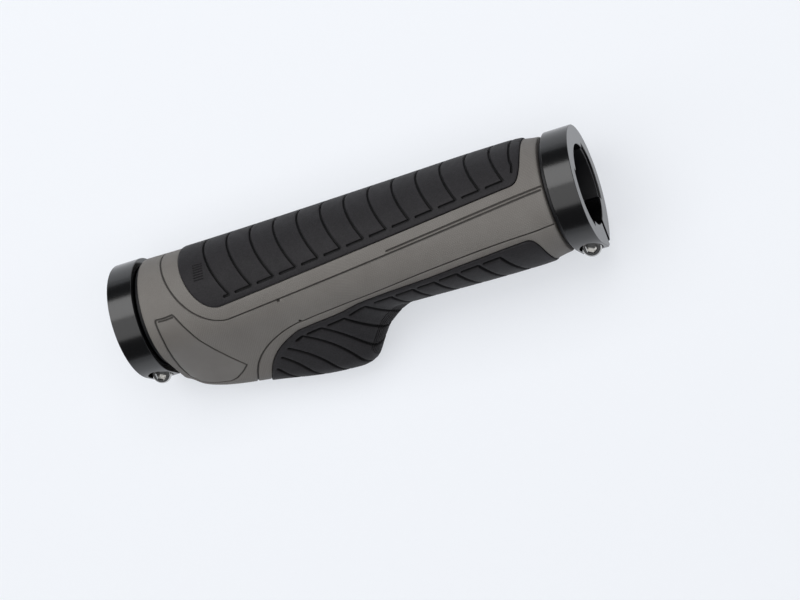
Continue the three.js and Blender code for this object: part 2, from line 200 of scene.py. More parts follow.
def section(x):
    """The barrel's circle, the wing edge's circle and the flat flank between them, at places x."""
    barrel = BARREL_RADIUS + SWELL * swell_share(x)
    reach = BARREL_RADIUS + (WING_REACH - BARREL_RADIUS) * wing_share(x)
    centre = np.maximum(reach - WING_EDGE, barrel - WING_EDGE + 1e-3)
    flank = np.arccos(np.clip((barrel - WING_EDGE) / centre, -1, 1))
    return barrel, centre, flank, WING_EDGE * flank, centre * np.sin(flank)


def girth(x):
    """Distance over the surface from the middle of the wing to the middle of the barrel."""
    barrel, _, flank, edge_arc, flat_flank = section(x)
    return edge_arc + flat_flank + barrel * (np.pi - flank)


def girth_at(x, angle):
    """Distance over the surface from the middle of the wing to an angle of 0 to 180 degrees."""
    barrel, centre, flank, edge_arc, flat_flank = section(x)
    a = np.radians(angle)
    edge_end = np.arctan2(WING_EDGE * np.sin(flank), centre + WING_EDGE * np.cos(flank))
    near = np.minimum(a, edge_end)
    r = centre * np.cos(near) + np.sqrt(np.maximum(WING_EDGE**2 - (centre * np.sin(near)) ** 2, 0))
    on_edge = WING_EDGE * np.arctan2(r * np.sin(near), r * np.cos(near) - centre)
    on_flank = edge_arc + flat_flank - barrel * np.tan(np.clip(flank - a, -1.5, 1.5))
    on_barrel = edge_arc + flat_flank + barrel * (a - flank)
    return np.where(a < edge_end, on_edge, np.where(a < flank, on_flank, on_barrel))


def skin(x, s):
    """Points of the surface at places x along the bar and distances s from the middle of the wing."""
    barrel, centre, flank, edge_arc, flat_flank = section(x)
    on_barrel = flank + np.maximum(s - edge_arc - flat_flank, 0) / barrel
    facing = np.where(s < edge_arc, s / WING_EDGE, on_barrel)
    share = np.clip((s - edge_arc) / np.maximum(flat_flank, 1e-6), 0, 1)
    radius = WING_EDGE + (barrel - WING_EDGE) * share
    shift = centre * (1 - share)
    return np.stack([x + 0 * s, shift + radius * np.cos(facing), radius * np.sin(facing)], axis=-1)


def skin_slopes(x, s):
    """How the surface's point moves with x and with s, and its outward normal."""
    step = 0.04
    along = (skin(x + step, s) - skin(x - step, s)) / (2 * step)
    around = (skin(x, s + step) - skin(x, s - step)) / (2 * step)
    normal = np.cross(around, along)
    return along, around, normal / np.linalg.norm(normal, axis=-1, keepdims=True)


# Paths over the surface, as arrays of (x, s)


def even(path, spacing):
    """The same path with points an even distance apart over the surface."""
    path = np.asarray(path, float)
    points = skin(path[:, 0], path[:, 1])
    walked = np.concatenate([[0], np.cumsum(np.linalg.norm(np.diff(points, axis=0), axis=1))])
    steps = max(2, int(round(walked[-1] / spacing)) + 1)
    at = np.linspace(0, walked[-1], steps)
    return np.stack([np.interp(at, walked, path[:, 0]), np.interp(at, walked, path[:, 1])], axis=1)


def moved(spots, offsets):
    """Places (x, s) moved over the surface by small offsets in space."""
    along, around, _ = skin_slopes(spots[:, 0], spots[:, 1])
    along_square, around_square = (along**2).sum(1), (around**2).sum(1)
    both = (along * around).sum(1)
    to_x, to_s = (offsets * along).sum(1), (offsets * around).sum(1)
    step = np.stack([to_x * around_square - to_s * both, to_s * along_square - to_x * both], axis=1)
    return spots + step / (along_square * around_square - both**2)[:, None]


def beside(path, distance):
    """The path moved sideways over the surface, to its left as it runs."""
    _, _, normal = skin_slopes(path[:, 0], path[:, 1])
    across = np.cross(normal, np.gradient(skin(path[:, 0], path[:, 1]), axis=0))
    return moved(path, distance * across / np.linalg.norm(across, axis=1, keepdims=True))


def circle_on_skin(spot, radius, steps=14):
    """A closed ring of places round a spot."""
    spots = np.repeat(np.asarray(spot, float)[None], steps + 1, axis=0)
    along, _, normal = skin_slopes(spots[:, 0], spots[:, 1])
    along /= np.linalg.norm(along, axis=1, keepdims=True)
    turn = np.linspace(0, 2 * np.pi, steps + 1)[:, None]
    return moved(spots, radius * (np.cos(turn) * along + np.sin(turn) * np.cross(normal, along)))


def by_angle(pairs, about_barrel=False):
    """A path through [x, angle] pairs, the angle counted from the wing's or the barrel's middle."""
    x, angle = np.array(pairs, float).T
    return np.stack([x, girth_at(x, 180 - angle if about_barrel else angle)], axis=-1)


def round_end(distance, length, power):
    """The share of an outline's full width at a distance from its end."""
    t = np.clip(distance / length, 0, 1)
    return (1 - (1 - t) ** power) ** (1 / power)


class Outline:
    """A border with two round ends, as a half-angle about the barrel's or the wing's middle. Each round end
    is its length and the power of its curve."""

    def __init__(self, start, end, width, start_round, end_round, about_barrel):
        self.start, self.end, self.width = start, end, width
        self.start_round, self.end_round, self.about_barrel = start_round, end_round, about_barrel

    def half_angle(self, x):
        ends = round_end(x - self.start, *self.start_round) * round_end(self.end - x, *self.end_round)
        return self.width(x) * ends

    def place(self, x, half):
        x, half = np.broadcast_arrays(np.asarray(x, float), np.asarray(half, float))
        return np.stack([x, girth_at(x, 180 - half if self.about_barrel else half)], axis=-1)

    def border(self, spacing):
        share = (1 - np.cos(np.linspace(0, np.pi, 1200))) / 2
        x = self.start + (self.end - self.start) * share
        return even(self.place(x, self.half_angle(x)), spacing)

    def holds(self, x, s):
        """Whether points (x, s) lie inside."""
        half = self.half_angle(np.clip(x, self.start, self.end))
        edge = girth_at(x, 180 - half if self.about_barrel else half)
        inside = s > edge if self.about_barrel else s < edge
        return inside & (x > self.start) & (x < self.end)


def slanted(place, value, slope):
    """A value that changes evenly along the bar."""
    return lambda x: value + slope * (x - place)


barrel_outline = Outline(
    from_outboard(12.2),
    from_inboard(4.3),
    slanted(from_outboard(12.2), 84.4, -0.331),
    start_round=(10.5, 2),
    end_round=(4.2, 3),
    about_barrel=True,
)
wing_outline = Outline(
    from_outboard(22.2),
    from_inboard(4.8),
    smooth_curve(
        [
            [from_outboard(34.5), 44.5],
            [from_outboard(46), 49],
            [from_outboard(52.5), 51.8],
            [from_outboard(62), 58],
            [from_outboard(80), 64],
            [from_outboard(92), 69],
            [from_inboard(4.5), 74],
        ]
    ),
    start_round=(17.5, 1.35),
    end_round=(4, 3),
    about_barrel=False,
)
barrel_line = Outline(
    from_outboard(6.6),
    from_inboard(-1),
    slanted(from_outboard(6.6), 103, -0.36),
    start_round=(17, 1.8),
    end_round=(0.5, 1),
    about_barrel=True,
)
wing_line = Outline(
    from_outboard(18.3),
    from_inboard(-1),
    smooth_curve(
        [
            [from_outboard(38), 54],
            [from_outboard(47.5), 58],
            [from_outboard(62.5), 64.3],
            [from_outboard(81), 73],
            [from_outboard(102), 79.6],
            [from_inboard(0), 80.5],
        ]
    ),
    start_round=(22, 1.4),
    end_round=(0.5, 1),
    about_barrel=False,
)

# Grooves: how each kind is cut, as [distance from its middle, height]
BARREL_RIB = [[0, -0.72], [0.17, -0.7], [0.27, -0.32], [0.35, -0.06], [0.5, 0]]
WING_RIB = [[0, -0.85], [0.26, -0.82], [0.4, -0.36], [0.5, -0.07], [0.7, 0]]
FINE_LINE = [[0, -0.34], [0.15, -0.32], [0.25, -0.1], [0.35, 0]]
TINY_LINE = [[0, -0.3], [0.1, -0.26], [0.21, 0]]
PIT = [[0, -0.7], [0.25, -0.6], [0.42, -0.15], [0.52, 0]]


def grooves(paths, profile):
    """Grooves of one kind: the rows of points that follow them, and a function for their height."""
    distances, heights = np.array(profile, float).T
    rows = []
    for path in paths:
        path = even(path, ROW_SPACING)
        rows += [path] + [beside(path, side * d) for d in distances[1:] for side in (1, -1)]
        closed = np.linalg.norm(path[0] - path[-1]) < 0.2
        for tip in [] if closed else [path[0], path[-1]]:
            rows += [circle_on_skin(tip, d) for d in distances[1:]]
    samples = np.concatenate([skin(*even(path, SAMPLE_SPACING).T) for path in paths])
    return rows, lambda points: np.interp(nearest(samples, points), distances, heights)


def pits(spots):
    """Small round pits, in the same form as grooves."""
    distances, heights = np.array(PIT, float).T
    rows = [circle_on_skin(spot, d) for spot in spots for d in distances[1:]]
    centres = skin(*np.array(spots).T)
    return rows, lambda points: np.interp(nearest(centres, points), distances, heights)


def nearest(places, points):
    """How far each point is from the nearest of the places."""
    tree = kdtree.KDTree(len(places))
    for i, place in enumerate(places):
        tree.insert(place, i)
    tree.balance()
    return np.array([tree.find(point)[2] for point in points])


# A moulded skin: triangles that follow every groove and border


def fill_points(low_x, high_x, spacing, keep, crowd, clearance):
    """Staggered points over the surface, an even distance apart, where keep(x, s) says so and clear of the
    crowd of points that are there already. The rows lie closer where the wing's edge slopes."""
    found = []
    x, row = low_x + spacing / 2, 0
    while x < high_x - spacing / 3:
        total = float(girth(np.array([x]))[0])
        steps = int(total / spacing)
        s = (np.arange(steps) + (0.5 if row % 2 else 0.25)) * total / steps
        found.append(np.stack([np.full(steps, x), s], axis=1))
        slope = np.linalg.norm(skin_slopes(np.array([x]), np.array([0.0]))[0])
        x += spacing * 0.87 / max(1.0, min(slope, 1.7) ** 0.5)
        row += 1
    found = np.concatenate(found)
    found = found[keep(found[:, 0], found[:, 1])]
    return found[nearest(flat(crowd), flat(found)) > clearance]


def flat(path):
    """(x, s) as points of a plane, for measuring distances."""
    return np.column_stack([path, np.zeros(len(path))])


def stretches(row, inside):
    """The stretches of a row whose points lie inside."""
    chosen = np.flatnonzero(inside)
    if not len(chosen):
        return []
    return [row[run] for run in np.split(chosen, np.flatnonzero(np.diff(chosen) > 1) + 1)]


def triangulate(rows, loose, boundary):
    """Triangles inside a closed boundary, through rows of points and loose points."""
    points, edges = [], []
    for path, closed in [(boundary, True)] + [(row, False) for row in rows]:
        first = len(points)
        points.extend(path.tolist())
        edges.extend((first + i, first + i + 1) for i in range(len(path) - 1))
        if closed:
            edges.append((len(points) - 1, first))
    points.extend(loose.tolist())
    verts, _, faces, _, _, _ = delaunay_2d_cdt([Vector(p) for p in points], edges, [], 1, 1e-6)
    return np.array([tuple(v) for v in verts]), np.array(faces)


def join_halves(name, sheets):
    """One mesh of sheets and of their mirror images in the wing's middle plane. A sheet is its points, its
    faces, its places (x, s), which become a UV map in millimetres, and its marks: how deep a point is sunk
    in a groove, which the rubbers' colours darken as painted shade, and whether it lies on the plain panel."""
    mesh = bmesh.new()
    uv_layer = mesh.loops.layers.uv.new("unrolled")
    layers = [mesh.verts.layers.float.new(key) for key in ("sunk", "plain")]
    for points, faces, uv, marks in sheets:
        for side in (1, -1):
            verts = [mesh.verts.new((p[0] * MM, p[1] * MM, side * p[2] * MM)) for p in points]
            for layer, values in zip(layers, marks):
                for vert, value in zip(verts, values):
                    vert[layer] = value
            for face in faces:
                corners = list(face)[::side]
                made = mesh.faces.new([verts[i] for i in corners])
                for loop, i in zip(made.loops, corners):
                    loop[uv_layer].uv = (uv[i][0], side * uv[i][1])
    bmesh.ops.remove_doubles(mesh, verts=mesh.verts, dist=SAME_PLACE * MM)
    bmesh.ops.dissolve_degenerate(mesh, edges=mesh.edges, dist=0.001 * MM)
    bmesh.ops.recalc_face_normals(mesh, faces=mesh.faces)
    data = bpy.data.meshes.new(name)
    mesh.to_mesh(data)
    mesh.free()
    piece = bpy.data.objects.new(name, data)
    bpy.context.scene.collection.objects.link(piece)
    return piece


def strip(count):
    """Four-sided faces between two rows of so many points, the second row's counted after the first's."""
    return [(i, i + 1, count + i + 1, count + i) for i in range(count - 1)]


def blank(points):
    """Marks for points that are neither in a groove nor on the panel."""
    return np.zeros((2, len(points)))


# Finishing a piece


def only(piece):
    """Makes one piece the active and only selected one."""
    bpy.ops.object.select_all(action="DESELECT")
    piece.select_set(True)
    bpy.context.view_layer.objects.active = piece
    return piece


def settle(piece, material, node, smooth=40, even_shading=False):
    """Lays a finished piece down in the part's frame, gives it its finish, and puts it in its node's
    place."""
    only(piece)
    piece.matrix_world = REST @ piece.matrix_world
    bpy.ops.object.transform_apply(location=True, rotation=True, scale=True)
    bpy.ops.object.shade_smooth_by_angle(angle=math.radians(smooth))
    if even_shading:
        bpy.ops.object.modifier_add(type="WEIGHTED_NORMAL")
        piece.modifiers[-1].keep_sharp = True
        bpy.ops.object.modifier_apply(modifier=piece.modifiers[-1].name)
    piece.data.materials.clear()
    piece.data.materials.append(material)
    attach(piece, "root")
    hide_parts(node)
    return piece


# Rubber pads


def rib_border(outline, x):
    """The half-angle, beside an outline, at which a rib groove turns into its hook."""
    half = float(outline.half_angle(np.array([x]))[0])
    point = skin(*outline.place([x], [half])[0][:, None])[0]
    return half - math.degrees(RIB_MARGIN / math.hypot(point[1], point[2]))


def rib_path(outline, middle, bow, power, hook_limit):
    """Half of one rib groove: from just past the pad's middle it bows to the border, and hooks back beside
    it, but not past the limit."""
    corner_x = middle + bow
    share = np.linspace(-0.01, 1, 61)
    bowed = middle + bow * np.abs(share) ** power
    path = list(outline.place(bowed, rib_border(outline, corner_x) * share))
    if corner_x - HOOK_LEAST > hook_limit:
        hook = np.linspace(corner_x, max(corner_x - HOOK, hook_limit), 14)[1:]
        path += [outline.place([x], [rib_border(outline, float(x))])[0] for x in hook]
    return np.array(path)


# The barrel's ribs bow a little less towards the inboard end, and the first ones have shorter hooks
FIRST_BARREL_RIB = from_outboard(19.8)
BARREL_HOOK_LIMIT = from_outboard(24.6)
barrel_bow = slanted(FIRST_BARREL_RIB, 6.4, -0.034)
barrel_ribs = [
    rib_path(barrel_outline, x, barrel_bow(x), 1.8, BARREL_HOOK_LIMIT)
    for x in np.arange(FIRST_BARREL_RIB, barrel_outline.end - RIB_PITCH, RIB_PITCH)
]

# A last short groove beside the inboard border, and the fine grip lines near the outboard end
barrel_ribs.append(by_angle([[51.2, -0.6], [51.4, 26], [51.9, 33], [51.7, 40]], about_barrel=True))
FINE_START, FINE_END = from_outboard(17.3), from_outboard(19.9)
FINE_ANGLES = np.arange(33, 51, 2.8)
barrel_tiny_lines = [
    by_angle([[FINE_START, angle], [FINE_END, angle]], about_barrel=True) for angle in FINE_ANGLES
]

# Each wing rib's place on the ridge, and how far it bows back towards the outboard end
WING_RIBS = [
    [from_outboard(32.5), 5],
    [from_outboard(39.2), 8.5],
    [from_outboard(46.2), 12.3],
    [from_outboard(53.2), 13.7],
    [from_outboard(57.8), 12.3],
    [from_outboard(61.1), 8.4],
    [from_outboard(65.7), 6.1],
    [from_outboard(71.8), 4.2],
    [from_outboard(78.5), 4.4],
    [from_outboard(85.5), 5],
    [from_outboard(92.2), 5],
    [from_outboard(99.1), 5.3],
    [from_outboard(105.8), 5.6],
]

# A hook stops short of the corner of the rib before it
wing_ribs = []
last_corner = from_outboard(35.5)
for ridge, bow in WING_RIBS:
    wing_ribs.append(rib_path(wing_outline, ridge, -bow, 1.5, last_corner + HOOK_CLEAR))
    last_corner = max(last_corner, ridge - bow)

# The wing's waist is lined along the bar between its ribs
WAIST_LINE_PITCH = 0.85
WAIST = [-4, 10]
WAIST_HALF_WIDTH = 8.5
wing_tiny_lines = [
    np.array([[x, s] for x in np.linspace(*WAIST, 24)])
    for s in np.arange(WAIST_LINE_PITCH, WAIST_HALF_WIDTH, WAIST_LINE_PITCH)
]


# A pad's rows of points beside its border, and the depth at which a rib groove's painted shade is at its
# darkest
PAD_EDGE_ROWS = (0.1, 0.25, 0.5)
RIB_SHADE_DEPTH = 0.5


def pad_top(outline, border, boundary, cuts):
    """The ribbed top of a pad, rounded off at its border."""

    def in_pad(row):
        off_middle = girth(row[:, 0]) - row[:, 1] if outline.about_barrel else row[:, 1]
        near = nearest(flat(border), flat(row))
        return outline.holds(row[:, 0], row[:, 1]) & (off_middle > EDGE_CLEAR) & (near > EDGE_CLEAR)

    rows = [beside(border, side * d)[1:-1] for d in PAD_EDGE_ROWS for side in (1, -1)]
    for cut_rows, _ in cuts:
        rows += cut_rows
    rows = [stretch for row in rows for stretch in stretches(row, in_pad(row))]
    crowd = np.concatenate([*rows, border])
    loose = fill_points(outline.start, outline.end, SHOWN_SPACING, outline.holds, crowd, clearance=0.42)
    places, faces = triangulate(rows, loose, boundary)
    points = skin(*places.T)
    _, _, normals = skin_slopes(*places.T)
    border_distance = nearest(skin(*even(border, SAMPLE_SPACING).T), points)
    edge = 1 - np.clip(border_distance / PAD_EDGE_ROUND, 0, 1)
    sunk = sum(height(points) for _, height in cuts)
    proud = PAD_PROUD - PAD_EDGE_DROP * (1 - np.sqrt(1 - edge**2)) + sunk
    # How deep each point is sunk in a rib groove, which the material darkens as painted shade
    marks = [np.clip(-sunk / RIB_SHADE_DEPTH, 0, 1), 0 * sunk]
    return points + normals * proud[:, None], faces, places, marks


def pad_skirt(border):
    """The wall round a pad, from its rim down into its seat."""
    count = len(border)
    rim = skin(*border.T)
    _, _, normals = skin_slopes(*border.T)
    upper = rim + normals * (PAD_PROUD - PAD_EDGE_DROP)
    lower = rim - normals * PAD_UNDERSIDE
    walls = np.concatenate([upper, lower])
    return walls, strip(count), np.concatenate([border, border]), blank(walls)


def pad_underside(outline, border, boundary):
    """The plain underside of a pad, facing down."""
    half = UNDERSIDE_SPACING / 2
    loose = fill_points(outline.start, outline.end, UNDERSIDE_SPACING, outline.holds, border, half)
    places, faces = triangulate([], loose, boundary)
    _, _, normals = skin_slopes(*places.T)
    points = skin(*places.T) - normals * PAD_UNDERSIDE
    return points, faces[:, ::-1], places, blank(places)


def pad(name, outline, cuts, node, material):
    """A pad: its ribbed top, a skirt that goes down into its seat, and a plain underside."""
    border = outline.border(ROW_SPACING)
    middle_x = np.linspace(outline.start, outline.end, int((outline.end - outline.start) / 0.7))[1:-1]
    middle_s = girth(middle_x) if outline.about_barrel else 0 * middle_x
    boundary = np.concatenate([border, np.stack([middle_x, middle_s], axis=1)[::-1]])
    sheets = [
        pad_top(outline, border, boundary, cuts),
        pad_skirt(border),
        pad_underside(outline, border, boundary),
    ]
    return settle(join_halves(name, sheets), material, node)


# Grey body

# The plain panel on each flank, as [distance from the outboard end, angle]
PANEL = [
    [3.2, 102.5],
    [3.6, 104.3],
    [8.5, 104.3],
    [9.1, 100.7],
    [11.3, 81],
    [12.6, 68],
    [14.7, 50],
    [17.1, 35.5],
    [20, 24],
    [18, 19.8],
    [15.2, 15.8],
    [12.9, 14],
    [8.1, 13.8],
    [4.6, 14.6],
    [2.2, 20],
    [2.1, 36],
    [2.8, 60],
    [3.2, 80],
    [3.2, 102.5],
]
panel_border = by_angle([[from_outboard(place), angle] for place, angle in PANEL])
panel_step = by_angle([[from_outboard(4.2), 101.6], [from_outboard(8.3), 101.8]])
LINES_END = BODY_END - 0.1
DOUBLE_LINE_GAP = math.degrees(0.85 / BARREL_RADIUS)
double_line = by_angle(
    [[x, barrel_line.width(x) - DOUBLE_LINE_GAP] for x in np.linspace(from_outboard(72), LINES_END, 30)],
    about_barrel=True,
)
mould_pits = by_angle([[-20.0, 87], [-17.3, 56.4]])

# How a pad's seat goes down, as [distance outside the pad's border, height], the rows of points near the
# body's ends, the rounding there, and the depth at which a line groove's painted shade is at its darkest
SEAT_WALL = [[0.1, -SEAT_DEPTH], [0.2, -0.08], [0.4, 0]]
END_ROWS = (0.12, 0.35, 0.7)
END_ROUND = 0.7
END_DROP = 0.4
LINE_SHADE_DEPTH = 0.35


def inside_polygon(places, polygon):
    """Whether places lie inside a closed path, by counting crossings."""
    x, s = places.T
    inside = np.zeros(len(places), bool)
    for (x0, s0), (x1, s1) in zip(polygon[:-1], polygon[1:]):
        crosses = (s0 > s) != (s1 > s)
        at = x0 + (s - s0) * (x1 - x0) / (s1 - s0 if s1 != s0 else 1)
        inside ^= crosses & (x < at)
    return inside


def cross_row(x, count=72):
    """A row of places once over half the surface, at one place along the bar."""
    return np.stack([np.full(count, x), np.linspace(0, float(girth(np.array([x]))[0]), count)], axis=1)


def body_boundary():
    """The edge of half the body's surface: along the wing's middle, an end, the barrel's middle, an end."""
    x = np.linspace(-BODY_END, BODY_END, 200)
    wing_middle = np.stack([x, 0 * x], axis=1)
    barrel_middle = np.stack([x, girth(x)], axis=1)[::-1]
    outboard, inboard = cross_row(-BODY_END)[::-1], cross_row(BODY_END)
    return np.concatenate([side[:-1] for side in (wing_middle, inboard, barrel_middle, outboard)])


def body_outside():
    """The outside of the body, with its line grooves, its panels and the seats of the pads."""
    lines = [panel_border, panel_step, double_line]
    for outline in (barrel_line, wing_line):
        border = outline.border(ROW_SPACING)
        lines.append(border[border[:, 0] < LINES_END])
    cuts = [grooves(lines, FINE_LINE), pits(mould_pits)]
    boundary = body_boundary()
    rows = [row for cut_rows, _ in cuts for row in cut_rows]
    seats = [outline.border(ROW_SPACING) for outline in (barrel_outline, wing_outline)]
    rows += [beside(border, side * d) for border in seats for d, _ in SEAT_WALL for side in (1, -1)]
    rows += [cross_row(side * (BODY_END - inset)) for side in (1, -1) for inset in END_ROWS]

    def in_body(row):
        x, s = row[:, 0], row[:, 1]
        return (np.abs(x) < BODY_END - EDGE_CLEAR) & (s > EDGE_CLEAR) & (s < girth(x) - EDGE_CLEAR)

    def hidden(x, s):
        return barrel_outline.holds(x, s) | wing_outline.holds(x, s)

    def on_show(x, s):
        return ~hidden(x, s) & in_body(np.stack([x, s], axis=1))

    rows = [stretch for row in rows for stretch in stretches(row, in_body(row))]
    crowd = np.concatenate([*rows, boundary])
    loose = [
        fill_points(-BODY_END, BODY_END, spacing, keep, crowd, clearance=spacing * 0.45)
        for spacing, keep in ((SHOWN_SPACING, on_show), (HIDDEN_SPACING, hidden))
    ]
    places, faces = triangulate(rows, np.concatenate(loose), boundary)
    points = skin(*places.T)
    _, _, normals = skin_slopes(*places.T)
    sunk = sum(height(points) for _, height in cuts)
    proud = sunk.copy()
    for outline, border in zip((barrel_outline, wing_outline), seats):
        distance = nearest(skin(*even(border, SAMPLE_SPACING).T), points)
        signed = np.where(outline.holds(*places.T), -distance, distance)
        proud += np.interp(signed, *np.array(SEAT_WALL).T)
    end_edge = 1 - np.clip((BODY_END - np.abs(places[:, 0])) / END_ROUND, 0, 1)
    proud -= END_DROP * (1 - np.sqrt(1 - end_edge**2))
    plain = inside_polygon(places, panel_border).astype(float)
    # How deep each point is sunk in a line groove, which the material darkens as painted shade, and the
    # panel
    marks = [np.clip(-sunk / LINE_SHADE_DEPTH, 0, 1), plain]
    return points + normals * proud[:, None], faces, places, marks


def grey_body(material):
    """The grey moulding: its outside, its end walls and its bore."""
    outside = body_outside()
    points, _, places, _ = outside
    sheets = [outside]
    bores = []
    for x in (-BODY_END, BODY_END):
        on_end = np.flatnonzero(np.abs(places[:, 0] - x) < 1e-4)
        on_end = on_end[np.argsort(places[on_end, 1])]
        rim = points[on_end]
        angle = np.arctan2(rim[:, 2], rim[:, 1])
        radius = SLEEVE_RADIUS + SEAT_GAP
        bore = np.stack([np.full(len(rim), x), radius * np.cos(angle), radius * np.sin(angle)], axis=1)
        wall = np.concatenate([rim, bore])
        sheets.append((wall, strip(len(rim)), np.concatenate([places[on_end]] * 2), blank(wall)))
        bores.append((bore, places[on_end]))
    tube = np.concatenate([bore for bore, _ in bores])
    tube_places = np.concatenate([on_bore for _, on_bore in bores])
    sheets.append((tube, strip(len(bores[0][0])), tube_places, blank(tube)))
    return settle(join_halves("body_grey_moulding", sheets), material, "rubber_body")


# Turned and extruded pieces


def pick(piece, wanted):
    """Selects, in edit mode, the edges whose two ends pass a test."""
    bpy.ops.mesh.select_all(action="DESELECT")
    mesh = bmesh.from_edit_mesh(piece.data)
    for edge in mesh.edges:
        edge.select_set(all(wanted(vert.co / MM) for vert in edge.verts))
    bmesh.update_edit_mesh(piece.data)


def turned(name, profile, steps, solid):
    """A piece turned about the x axis, from [x, radius] pairs: a solid with flat ends, or a closed tube."""
    bpy.ops.object.select_all(action="DESELECT")
    (x, radius), rest = profile[0], profile[1:]
    bpy.ops.mesh.primitive_circle_add(
        vertices=steps,
        radius=radius * MM,
        fill_type="NGON" if solid else "NOTHING",
        location=(x * MM, 0, 0),
        rotation=(0, math.radians(90), 0),
    )
    piece = only(bpy.context.object)
    piece.name = piece.data.name = name
    bpy.ops.object.transform_apply(location=True, rotation=True, scale=True)
    bpy.ops.object.mode_set(mode="EDIT")
    bpy.ops.mesh.select_all(action="SELECT")
    extrude = bpy.ops.mesh.extrude_region_move if solid else bpy.ops.mesh.extrude_edges_move
    for next_x, next_radius in rest:
        extrude(TRANSFORM_OT_translate={"value": ((next_x - x) * MM, 0, 0)})
        scale = next_radius / radius
        bpy.ops.transform.resize(value=(1, scale, scale), center_override=(next_x * MM, 0, 0))
        x, radius = next_x, next_radius
    bpy.ops.mesh.select_all(action="SELECT")
    bpy.ops.mesh.remove_doubles(threshold=SAME_PLACE * MM)
    bpy.ops.mesh.normals_make_consistent(inside=False)
    bpy.ops.object.mode_set(mode="OBJECT")
    return piece


def eased(corners, cut):
    """A closed outline with each sharp corner rounded over a short distance."""
    result = []
    for before, here, after in zip(np.roll(corners, 1, axis=0), corners, np.roll(corners, -1, axis=0)):
        back, ahead = before - here, after - here
        lengths = np.linalg.norm(back), np.linalg.norm(ahead)
        turn = math.degrees(math.acos(np.clip(-back @ ahead / lengths[0] / lengths[1], -1, 1)))
        if turn < 30:
            result.append(here)
            continue
        first = here + back * min(cut / lengths[0], 0.45)
        last = here + ahead * min(cut / lengths[1], 0.45)
        for t in np.linspace(0, 1, 4):
            result.append((1 - t) ** 2 * first + 2 * t * (1 - t) * here + t * t * last)
    return np.array(result)


def extruded(name, corners, length):
    """A closed outline of (y, z) corners, extruded along the bar by a length whose middle is at x = 0."""
    bpy.ops.object.select_all(action="DESELECT")
    bpy.ops.mesh.primitive_circle_add(vertices=len(corners), radius=RING_RADIUS * MM, fill_type="NGON")
    piece = only(bpy.context.object)
    piece.name = piece.data.name = name
    for vert, (y, z) in zip(piece.data.vertices, corners):
        vert.co = Vector((-length / 2, y, z)) * MM
    bpy.ops.object.mode_set(mode="EDIT")
    bpy.ops.mesh.select_all(action="SELECT")
    bpy.ops.mesh.extrude_region_move(TRANSFORM_OT_translate={"value": (length * MM, 0, 0)})
    bpy.ops.mesh.select_all(action="SELECT")
    bpy.ops.mesh.normals_make_consistent(inside=False)
    bpy.ops.object.mode_set(mode="OBJECT")
    return piece


def rim_rounded(piece, rims, width):
    """Rounds the edges of a piece that lie in planes across the bar."""
    only(piece)
    bpy.ops.object.mode_set(mode="EDIT")
    bpy.ops.mesh.select_mode(type="EDGE")
    for rim in rims:
        pick(piece, lambda place: abs(place.x - rim) < 1e-3)
        bpy.ops.mesh.bevel(offset=width * MM, segments=3, profile=0.5, affect="EDGES", clamp_overlap=False)
    bpy.ops.object.mode_set(mode="OBJECT")
    return piece


def joined(piece, other, operation):
    """Cuts another piece away from a piece, or adds it, and removes the other."""
    only(piece)
    bpy.ops.object.modifier_add(type="BOOLEAN")
    modifier = piece.modifiers[-1]
    modifier.operation = operation
    modifier.object = other
    modifier.solver = "EXACT"
    bpy.ops.object.modifier_apply(modifier=modifier.name)
    bpy.data.objects.remove(other)
    return piece


def on_screw_line(piece):
    """Turns a piece from the x axis on to a clamp screw's line, its head towards -z."""
    only(piece)
    turn = Matrix.Rotation(math.radians(90), 4, "Y")
    piece.matrix_world = Matrix.Translation((0, SCREW_FROM_AXIS * MM, 0)) @ turn
    bpy.ops.object.transform_apply(location=True, rotation=True, scale=True)
    return piece


def placed_copy(piece, name, x, turn=0):
    """A copy of a piece with its own mesh, turned about the bar by some degrees and moved along it."""
    copy = piece.copy()
    copy.data = piece.data.copy()
    copy.name = copy.data.name = name
    copy.matrix_world = Matrix.Translation((x * MM, 0, 0)) @ Matrix.Rotation(math.radians(turn), 4, "X")
    bpy.context.scene.collection.objects.link(copy)
    return copy


def at_end(piece, end, material, node, smooth):
    """Lays a copy of a piece of the clamp at one end of the grip: 1 is inboard, -1 is outboard."""
    side = "inboard_" if end > 0 else "outboard_"
    copy = placed_copy(piece, side + piece.name, end * RING_MIDDLE)
    settle(copy, material, side + node, smooth=smooth, even_shading=True)


def polar(radius, angle):
    return [radius * math.cos(math.radians(angle)), radius * math.sin(math.radians(angle))]


def ring_outside(angle):
    """The ring's outer radius at an angle from -180 to 180 degrees. Under the screw's head it runs on in a
    flat facet, off the round, as far as the facet stands proud. Across the split is a low lug."""
    if angle > 0:
        return RING_RADIUS + LUG_PROUD * max(1 - angle / LUG_SPAN, 0) ** 2
    if angle > FACET_ANGLE:
        return min(RING_RADIUS / math.cos(math.radians(angle - FACET_ANGLE)), RING_RADIUS + FACET_PROUD)
    return RING_RADIUS


